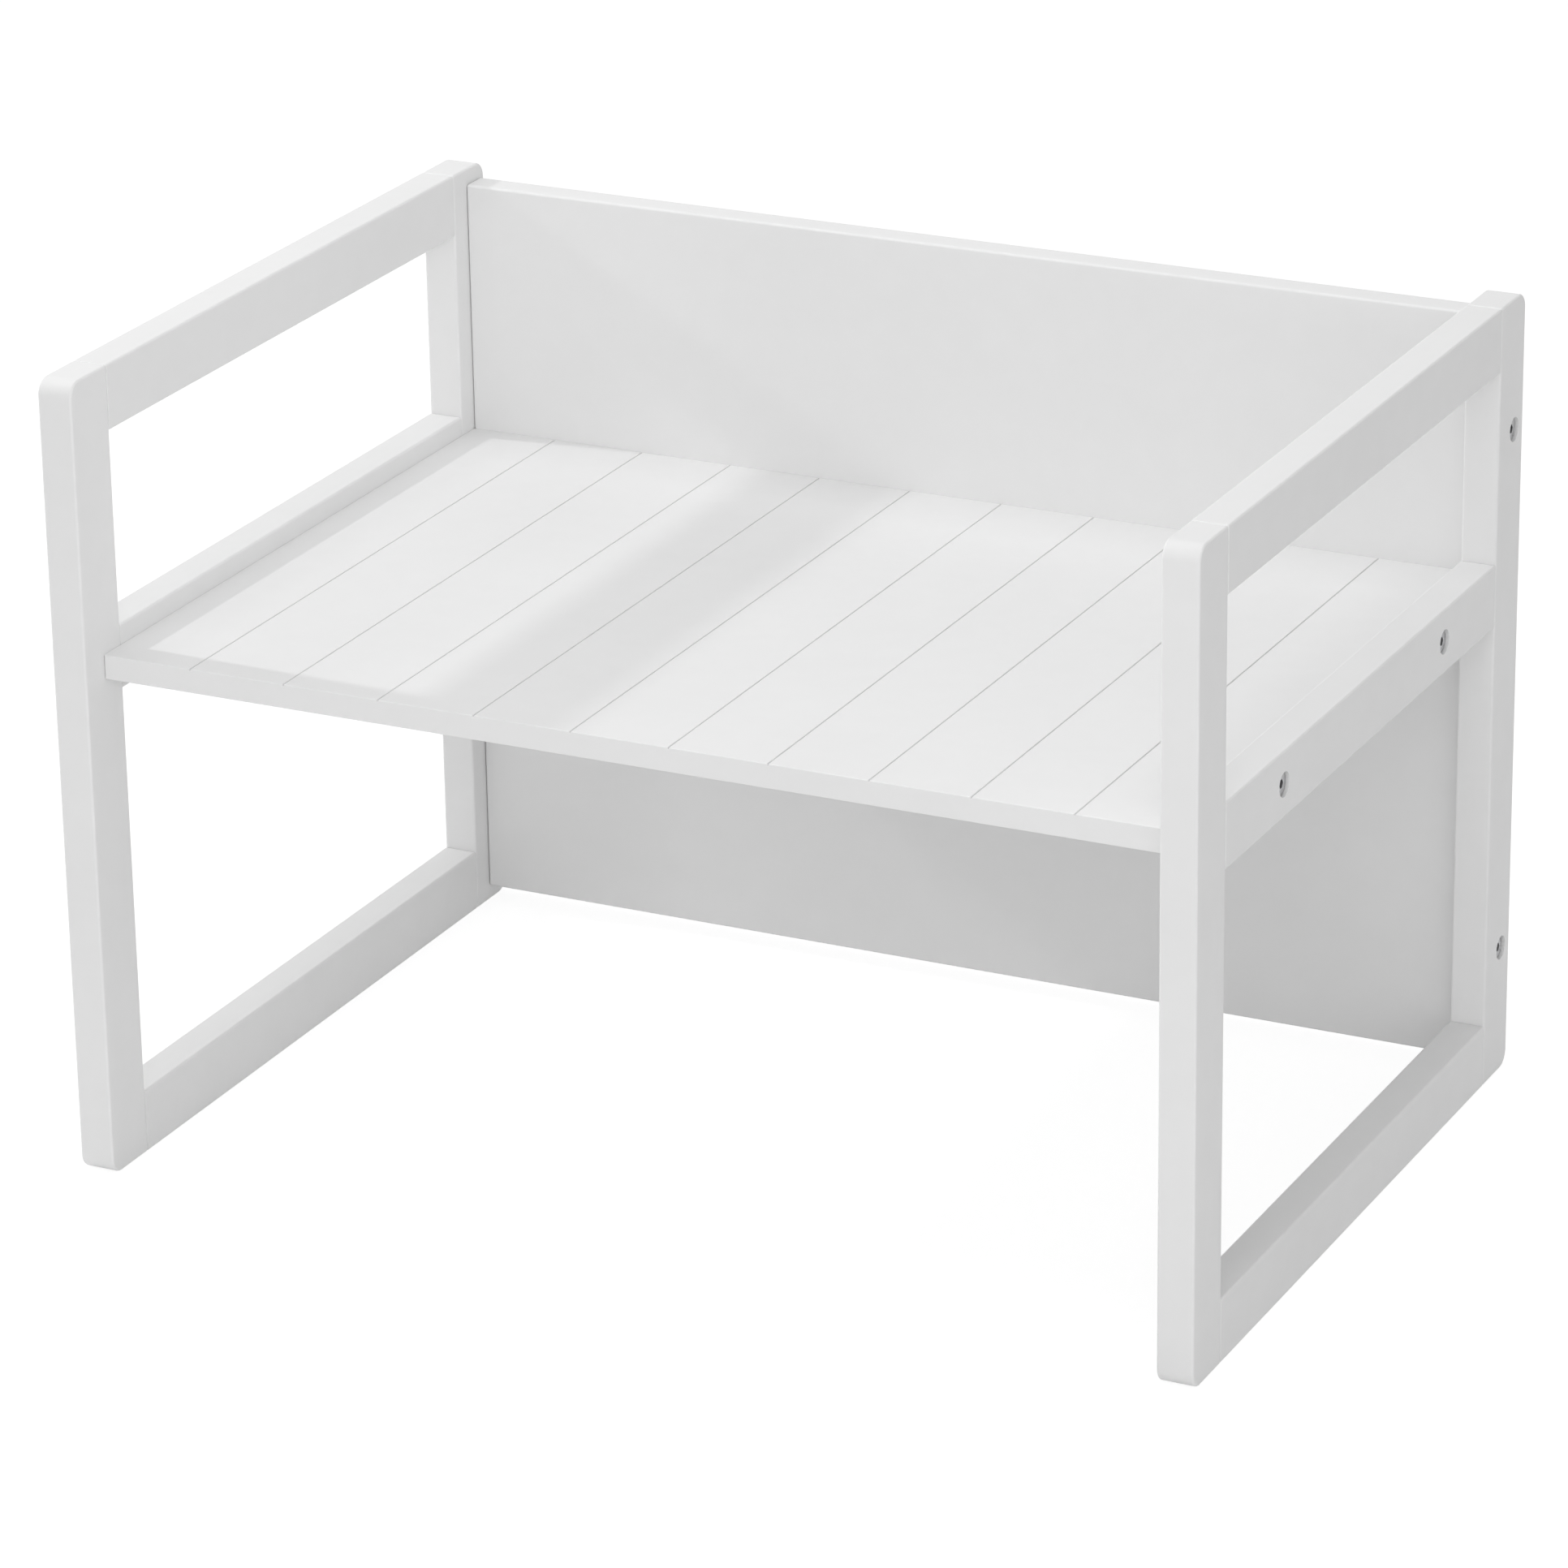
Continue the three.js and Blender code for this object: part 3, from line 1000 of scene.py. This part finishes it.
@dataclass(frozen=True)
class StudioSky:
    """A white studio tent with broad, soft glows."""

    glows: tuple[Glow, ...] = (
        Glow("left", way=(-1.0, 0.0, 0.0), strength=0.50, tightness=1.0),
        Glow("right", way=(1.0, 0.0, 0.15), strength=0.15, tightness=4.0),
        Glow("front right", way=(1.0, -1.0, 0.0), strength=1.06, tightness=2.0),
        Glow("front", way=(0.0, -1.0, 0.0), strength=0.53, tightness=1.0),
        Glow("rear", way=(0.0, 1.0, 0.0), strength=1.1, tightness=1.0),
    )

    def build(self) -> bpy.types.World:
        """Makes the world and gives it to the scene.

        Returns:
            The world.
        """
        world = bpy.data.worlds.new("studio_sky")
        world.use_nodes = True
        world.node_tree.nodes.clear()
        desk = NodeDesk(world.node_tree)
        way = desk.node("ShaderNodeTexCoord").outputs["Generated"]
        total: Feed = 0.0
        for glow in self.glows:
            facing = desk.node("ShaderNodeVectorMath", operation="DOT_PRODUCT")
            desk.feed(facing.inputs[0], way)
            desk.feed(facing.inputs[1], Vector(glow.way).normalized())
            lit = desk.math("POWER", desk.math("MAXIMUM", facing.outputs["Value"], 0.0), glow.tightness)
            scaled = desk.math("MULTIPLY", lit, glow.strength)
            scaled.node.name = glow.name
            total = desk.math("ADD", scaled, total)
        lighting, backdrop = desk.node("ShaderNodeBackground"), desk.node("ShaderNodeBackground")
        desk.feed(lighting.inputs["Strength"], total)
        choice, output = desk.node("ShaderNodeMixShader"), desk.node("ShaderNodeOutputWorld")
        for number, fed in enumerate((shown_ray(desk), lighting.outputs[0], backdrop.outputs[0])):
            desk.feed(choice.inputs[number], fed)
        desk.feed(output.inputs["Surface"], choice.outputs[0])
        bpy.context.scene.world = world
        return world


@dataclass(frozen=True)
class SoftLamp:
    """A flat diffuser that looks at one point of the bench, with its length level."""

    name: str
    place: Point
    watts: float
    length: float
    width: float
    target: Point = (0.0, 0.0, 0.26)

    def build(self) -> bpy.types.Object:
        """Makes the lamp.

        Returns:
            The lamp's object.
        """
        data = bpy.data.lights.new(self.name, "AREA")
        data.shape = "RECTANGLE"
        data.size, data.size_y = self.length, self.width
        data.energy = self.watts
        made = put_in_scene(self.name, data)
        aim = (Vector(self.target) - Vector(self.place)).to_track_quat("-Z", "Y")
        made.matrix_world = Matrix.Translation(self.place) @ aim.to_matrix().to_4x4()
        made.visible_camera = False
        return made


# Each lamp has its name, its place and its watts. The small one on the left throws the top rail's
# band of shade across the seat.
STUDIO_LAMPS = (
    SoftLamp("left_spot", (-2.6, -0.12, 1.71), 21.3, length=0.1, width=0.12, target=(0.0, -0.12, 0.26)),
    SoftLamp("overhead", (0.0, 0.0, 2.2), 11.6, length=1.6, width=1.6),
    SoftLamp("overhead_left", (-1.3, 0.0, 2.2), 7.5, length=1.6, width=1.6),
    SoftLamp("near_front", (0.5, -1.3, 0.9), 3.4, length=0.7, width=0.7),
    SoftLamp("low_front_right", (1.7, -2.0, 0.45), 1.3, length=0.8, width=0.7, target=(0.0, 0.1, 0.15)),
)


@dataclass(frozen=True)
class PhotoCamera:
    """The camera, with the place, turn and focal length that the photo's own edges give.

    Angles are in degrees, the sensor's width and the focal length in millimetres.
    """

    name: str = "photo_camera"
    place: Point = (1.33375, -2.71408, 1.36418)
    azimuth: float = 26.3073
    elevation: float = 21.4802
    roll: float = -0.8988
    sensor: float = 36.0
    focal: float = 155.53

    def build(self) -> bpy.types.Object:
        """Makes the camera and gives it to the scene.

        Returns:
            The camera's object.
        """
        turn, rise, roll = map(math.radians, (self.azimuth, self.elevation, self.roll))
        level = math.cos(rise)
        forward = Vector((-math.sin(turn) * level, math.cos(turn) * level, -math.sin(rise)))
        right = Vector((math.cos(turn), math.sin(turn), 0.0))
        up = right.cross(forward)
        side = right * math.cos(roll) + up * math.sin(roll)
        top = up * math.cos(roll) - right * math.sin(roll)
        data = bpy.data.cameras.new(self.name)
        data.sensor_width = self.sensor
        data.lens = self.focal
        made = put_in_scene(self.name, data)
        turned = Matrix((side, top, -forward)).transposed().to_4x4()
        made.matrix_world = Matrix.Translation(self.place) @ turned
        bpy.context.scene.camera = made
        return made


@dataclass
class Workshop:
    """Finishes pieces: gives each its material and its body, and hides the node that it stands for."""

    lacquer: bpy.types.Material
    zinc: bpy.types.Material
    wood: dict[Axis, bpy.types.Material]

    @classmethod
    def fitted_out(cls) -> Workshop:
        """Builds every finish once.

        Returns:
            The workshop.
        """
        effects = EffectShelf()
        wood = {axis: DowelWood(axis).build(effects) for axis in (Axis.X, Axis.Y)}
        return cls(SatinLacquer().build(effects), ZincPlate().build(effects), wood)

    def dress(self, piece: bpy.types.Object, slot: Slot, node: str) -> bpy.types.Object:
        """Finishes one new piece.

        Args:
            piece: The piece.
            slot: The slot that it takes its finish from.
            node: The node that it stands for.

        Returns:
            The piece.
        """
        piece.data.materials.append(self.lacquer if slot is Slot.LACQUER else self.zinc)
        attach(piece, BODY)
        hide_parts(node)
        return piece

    def stain(self, node: str, along: Axis) -> bpy.types.Object:
        """Gives a dowel of the frame its wood finish.

        Args:
            node: The dowel's name.
            along: The axis that the dowel lies on.

        Returns:
            The dowel's object.
        """
        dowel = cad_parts[node]
        for held in dowel.material_slots:
            held.material = self.wood[along]
        return dowel


@dataclass
class SideFrame:
    """One open side frame: a front post, a rear post and three rails, with their dowels."""

    side: Side
    first_seed: int
    arris: float = 1.2 * MM
    corner: float = 8 * MM
    front_seam: float = 0.8 * MM
    rear_seam: float = 1.4 * MM
    inner_seam: float = 0.3 * MM
    fit: float = 0.3 * MM
    bore_radius: float = 6 * MM
    bore_depth: float = 5 * MM
    bore_rim: float = 0.15 * MM
    bore_rim_steps: int = 3
    bore_sides: int = 48
    clearance: float = 2.95 * MM

    def bores(self, screws: Sequence[str], thickness: float) -> list[tuple[int, Bore]]:
        """The counterbores of one bar, stepped, with an eased mouth, right through the bar.

        Args:
            screws: The names of the screws that go through it.
            thickness: The bar's thickness.

        Returns:
            For each hole the way that it goes and the hole.
        """
        wide, narrow = self.bore_radius, self.clearance
        mouth = [
            (self.bore_rim * depth, wide + self.bore_rim * out, arris)
            for depth, out, arris in quarter_round(self.bore_rim_steps)
        ]
        steps = ((self.bore_depth, wide, 0.0), (self.bore_depth, narrow, 0.0), (thickness, narrow, 0.0))
        return bores_at(screws, -self.side.value, (*mouth, *steps), self.bore_sides)

    def post(self, place: str, seed: int) -> Slab:
        """A post, with the frame's large radius at its two outer corners.

        Args:
            place: Front or rear.
            seed: The piece's number.

        Returns:
            The slab.
        """
        node = f"{self.side.word}_{place}_post"
        low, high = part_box(node)
        big, small = self.corner, self.arris
        radii = (big, small, small, big) if place == "front" else (small, big, big, small)
        screws = fixings("panel", "screw", self.side) if place == "rear" else []
        inset = (small, small, small)
        return Slab(
            f"lacquered_{node}", node, low, high, radii, (inset, inset), small,
            (Axis.Z, Axis.Y, Axis.X), seed, self.bores(screws, high.x - low.x),
        )

    def rail(self, place: str, seed: int) -> Slab:
        """A rail, drawn tight against both posts.

        Args:
            place: Bottom, seat or top.
            seed: The piece's number.

        Returns:
            The slab.
        """
        node = f"{self.side.word}_{place}_rail"
        low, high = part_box(node)
        screws = fixings("seat", "screw", self.side) if place == "seat" else []
        front, rear = self.front_seam, self.rear_seam
        outer, inner = (front, rear, self.arris), (self.inner_seam, self.inner_seam, self.arris)
        insets = (inner, outer) if self.side is Side.RIGHT else (outer, inner)
        tight = Vector((0.0, self.fit, 0.0))
        return Slab(
            f"lacquered_{node}", node, low - tight, high + tight, (front, rear, rear, front), insets,
            self.arris, (Axis.Y, Axis.Z, Axis.X), seed, self.bores(screws, high.x - low.x),
        )

    def build(self, shop: Workshop) -> list[bpy.types.Object]:
        """Makes the frame's five bars and finishes its dowels.

        Args:
            shop: The workshop.

        Returns:
            The pieces.
        """
        posts, rails = ("front", "rear"), ("bottom", "seat", "top")
        bars = [self.post(place, self.first_seed + i) for i, place in enumerate(posts)]
        bars += [self.rail(place, self.first_seed + len(posts) + i) for i, place in enumerate(rails)]
        made = [shop.dress(bar.build(), Slot.LACQUER, bar.node) for bar in bars]
        for rail in rails:
            for end in posts:
                for number in (1, 2):
                    name = f"{self.side.word}_{rail}_rail_{end}_dowel_{number}"
                    made.append(shop.stain(name, Axis.Y))
        return made


@dataclass
class Boards:
    """The seat board, with its grooves, and the back panel.

    A groove's lip is given from its rim to its floor: how far each point lies from the groove's
    middle, as a share of half its width, and how deep it lies, as a share of its depth.
    """

    arris: float = 1.5 * MM
    front_arris: float = 0.5 * MM
    seat_ease: float = 0.15 * MM
    end_arris: float = 1.0 * MM
    rear_arris: float = 0.1 * MM
    snug: float = 0.25 * MM
    pilot_radius: float = 2.1 * MM
    pilot_depth: float = 38 * MM
    pilot_point: float = 1.5 * MM
    pilot_sides: int = 24
    groove_pitch: float = 50 * MM
    groove_width: float = 0.9 * MM
    groove_depth: float = 0.9 * MM
    groove_margin: float = 12 * MM
    groove_lip_shares: tuple[tuple[float, float], ...] = (
        (1.2, 0.0), (1.08, 0.02), (0.98, 0.09), (0.9, 0.22), (0.75, 0.9), (0.55, 1.0),
    )
    seat_seed: int = 21
    panel_seed: int = 22

    def pilots(self, board: str) -> list[tuple[int, Bore]]:
        """The blind holes that a board's screws bite in.

        Args:
            board: Seat or panel.

        Returns:
            For each hole the way that it goes and the hole.
        """
        radius, depth = self.pilot_radius, self.pilot_depth
        section = ((0.0, radius, 0.0), (depth, radius, 0.0), (depth + self.pilot_point, 0.0, 0.0))
        made = []
        for side in Side:
            made += bores_at(fixings(board, "screw", side), -side.value, section, self.pilot_sides)
        return made

    def groove_stations(self, low: Vector, high: Vector) -> list[Station]:
        """The rings that sink the grooves into the seat's upper face.

        Args:
            low: The board's lowest corner.
            high: The board's highest corner.

        Returns:
            The stations in order of x.
        """
        middle, reach = (low.x + high.x) / 2, (high.x - low.x) / 2 - self.groove_margin
        count = round(reach / self.groove_pitch)
        section = [(-across, down) for across, down in self.groove_lip_shares]
        section += reversed(self.groove_lip_shares)
        made = []
        for i in range(-count, count):
            x = middle + (i + 0.5) * self.groove_pitch
            for across, down in section:
                offset = across * self.groove_width / 2
                made.append(Station(x + offset, drop=down * self.groove_depth))
        return made

    def seat(self) -> Slab:
        """The seat board, drawn tight against the side frames and the panel.

        Returns:
            The slab.
        """
        low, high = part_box("seat_board")
        radii = (self.front_arris, self.rear_arris, self.rear_arris, self.front_arris)
        inset = (self.end_arris, self.end_arris, self.seat_ease)
        snug = Vector((self.snug, 0.0, 0.0))
        behind = Vector((0.0, self.snug, 0.0))
        return Slab(
            "lacquered_seat_board", "seat_board", low - snug, high + snug + behind, radii,
            (inset, inset), self.end_arris, (Axis.X, Axis.Y, Axis.Z), self.seat_seed,
            self.pilots("seat"), self.groove_stations(low, high),
        )

    def panel(self) -> Slab:
        """The back panel.

        Returns:
            The slab.
        """
        low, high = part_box("back_panel")
        inset = (self.end_arris, self.end_arris, self.end_arris)
        return Slab(
            "lacquered_back_panel", "back_panel", low, high, (self.arris,) * 4, (inset, inset),
            self.end_arris, (Axis.X, Axis.Z, Axis.Y), self.panel_seed, self.pilots("panel"),
        )

    def build(self, shop: Workshop) -> list[bpy.types.Object]:
        """Makes both boards and finishes their dowels.

        Args:
            shop: The workshop.

        Returns:
            The pieces.
        """
        slabs = (self.seat(), self.panel())
        made = [shop.dress(slab.build(), Slot.LACQUER, slab.node) for slab in slabs]
        for side in Side:
            for board in BOARD_ENDS:
                made += [shop.stain(name, Axis.X) for name in fixings(board, "dowel", side)]
        return made


@dataclass
class SocketScrew:
    """A screw with a flat round head, a hexagon socket, a plain neck and a coarse thread."""

    node: str
    side: Side
    seed: int
    head_radius: float = 5.3 * MM
    head_height: float = 3.2 * MM
    head_arris: float = 0.5 * MM
    head_arris_steps: int = 4
    socket_sides: int = 6
    socket_reach: float = 2.31 * MM
    socket_depth: float = 2.2 * MM
    socket_lead: float = 0.2 * MM
    socket_floor_share: float = 0.75
    socket_point: float = 0.7 * MM
    neck_radius: float = 2.9 * MM
    neck_length: float = 12 * MM
    neck_taper: float = 0.6 * MM
    thread_radius: float = 2.5 * MM
    thread_steepness: float = 3.2
    core_radius: float = 1.75 * MM
    pitch: float = 2.8 * MM
    tip_length: float = 4 * MM
    tip_radius: float = 1.3 * MM
    tip_end_share: float = 0.8
    sides: int = 32
    rings_a_turn: int = 6

    def shank(self, length: float) -> list[tuple[Turned, float]]:
        """The outer surface from the edge of the head's face to the tip.

        Args:
            length: The screw's whole length.

        Returns:
            For each ring its depth, radius and arris, and how high the thread stands there.
        """
        made = []
        for depth, out, arris in quarter_round(self.head_arris_steps):
            made.append(((self.head_arris * depth, self.head_radius - self.head_arris * out, arris), 0.0))
        head, neck = self.head_height, self.head_height + self.neck_length
        plain = (
            (head, self.head_radius), (head, self.neck_radius),
            (neck, self.neck_radius), (neck + self.neck_taper, self.core_radius),
        )
        made += [((depth, radius, 0.0), 0.0) for depth, radius in plain]
        step = self.pitch / self.rings_a_turn
        depth, taper = neck + 2 * step, length - self.tip_length
        while depth < length - step / 2:
            fade = max(0.0, (depth - taper) / self.tip_length)
            core = self.core_radius + (self.tip_radius - self.core_radius) * fade
            made.append(((depth, core, 0.0), (self.thread_radius - self.core_radius) * (1 - fade)))
            depth += step
        made += [((length, self.tip_end_share * self.tip_radius, 0.0), 0.0), ((length, 0.0, 0.0), 0.0)]
        return made

    def threaded_ring(self, wall: TurnedWall, row: Turned, height: float) -> list[int]:
        """Adds one ring of the outer surface, with the thread's crest where it passes.

        Args:
            wall: What the ring is drawn with.
            row: The ring's depth, radius and arris.
            height: How high the thread stands there.

        Returns:
            The corners' numbers.
        """
        depth, radius, arris = row
        ring = []
        for i in range(self.sides):
            share = (depth / self.pitch - i / self.sides) % 1.0
            crest = max(0.0, 1 - self.thread_steepness * abs(share - 0.5))
            ring.append(wall.corner(depth, radius + height * crest, 2 * math.pi * i / self.sides, arris))
        return ring

    def build(self, shop: Workshop) -> list[bpy.types.Object]:
        """Makes the screw.

        Args:
            shop: The workshop.

        Returns:
            The one piece.
        """
        low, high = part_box(self.node)
        middle = (low + high) / 2
        face = high.x if self.side is Side.RIGHT else low.x
        sketch = MeshSketch()
        wall = TurnedWall(sketch, face, -self.side.value, middle.y, middle.z)
        sketch.skin([self.threaded_ring(wall, row, height) for row, height in self.shank(high.x - low.x)])
        lead, reach, depth = self.socket_lead, self.socket_reach, self.socket_depth
        socket = (
            (0.0, reach + lead, 0.0), (lead, reach, 0.0), (depth, reach, 0.0),
            (depth, self.socket_floor_share * reach, 0.0), (depth + self.socket_point, 0.0, 0.0),
        )
        sketch.skin([wall.ring(row, self.socket_sides) for row in socket])
        made = sketch.finished(f"plated_{self.node}", (face,), (Axis.X, Axis.Y, Axis.Z), self.seed)
        return [shop.dress(made, Slot.SCREW, self.node)]


def all_screws() -> list[SocketScrew]:
    """The eight screws, two for each end of each board.

    Returns:
        The screws, left ones first.
    """
    made = []
    for side in Side:
        for board in BOARD_ENDS:
            for node in fixings(board, "screw", side):
                made.append(SocketScrew(node, side, FIRST_SCREW_SEED + len(made)))
    return made


def main() -> None:
    """Builds the studio and the bench, and reports each piece."""
    logging.basicConfig(level=logging.INFO, format="%(message)s")
    bpy.context.scene.view_settings.view_transform = "Standard"
    PhotoCamera().build()
    StudioSky().build()
    StudioFloor().build()
    for lamp in STUDIO_LAMPS:
        lamp.build()
    shop = Workshop.fitted_out()
    frames = (SideFrame(Side.LEFT, first_seed=1), SideFrame(Side.RIGHT, first_seed=11))
    for assembly in (*frames, Boards(), *all_screws()):
        for piece in assembly.build(shop):
            LOG.info("%s: %d faces", piece.name, len(piece.data.polygons))


if __name__ == "__main__":
    main()
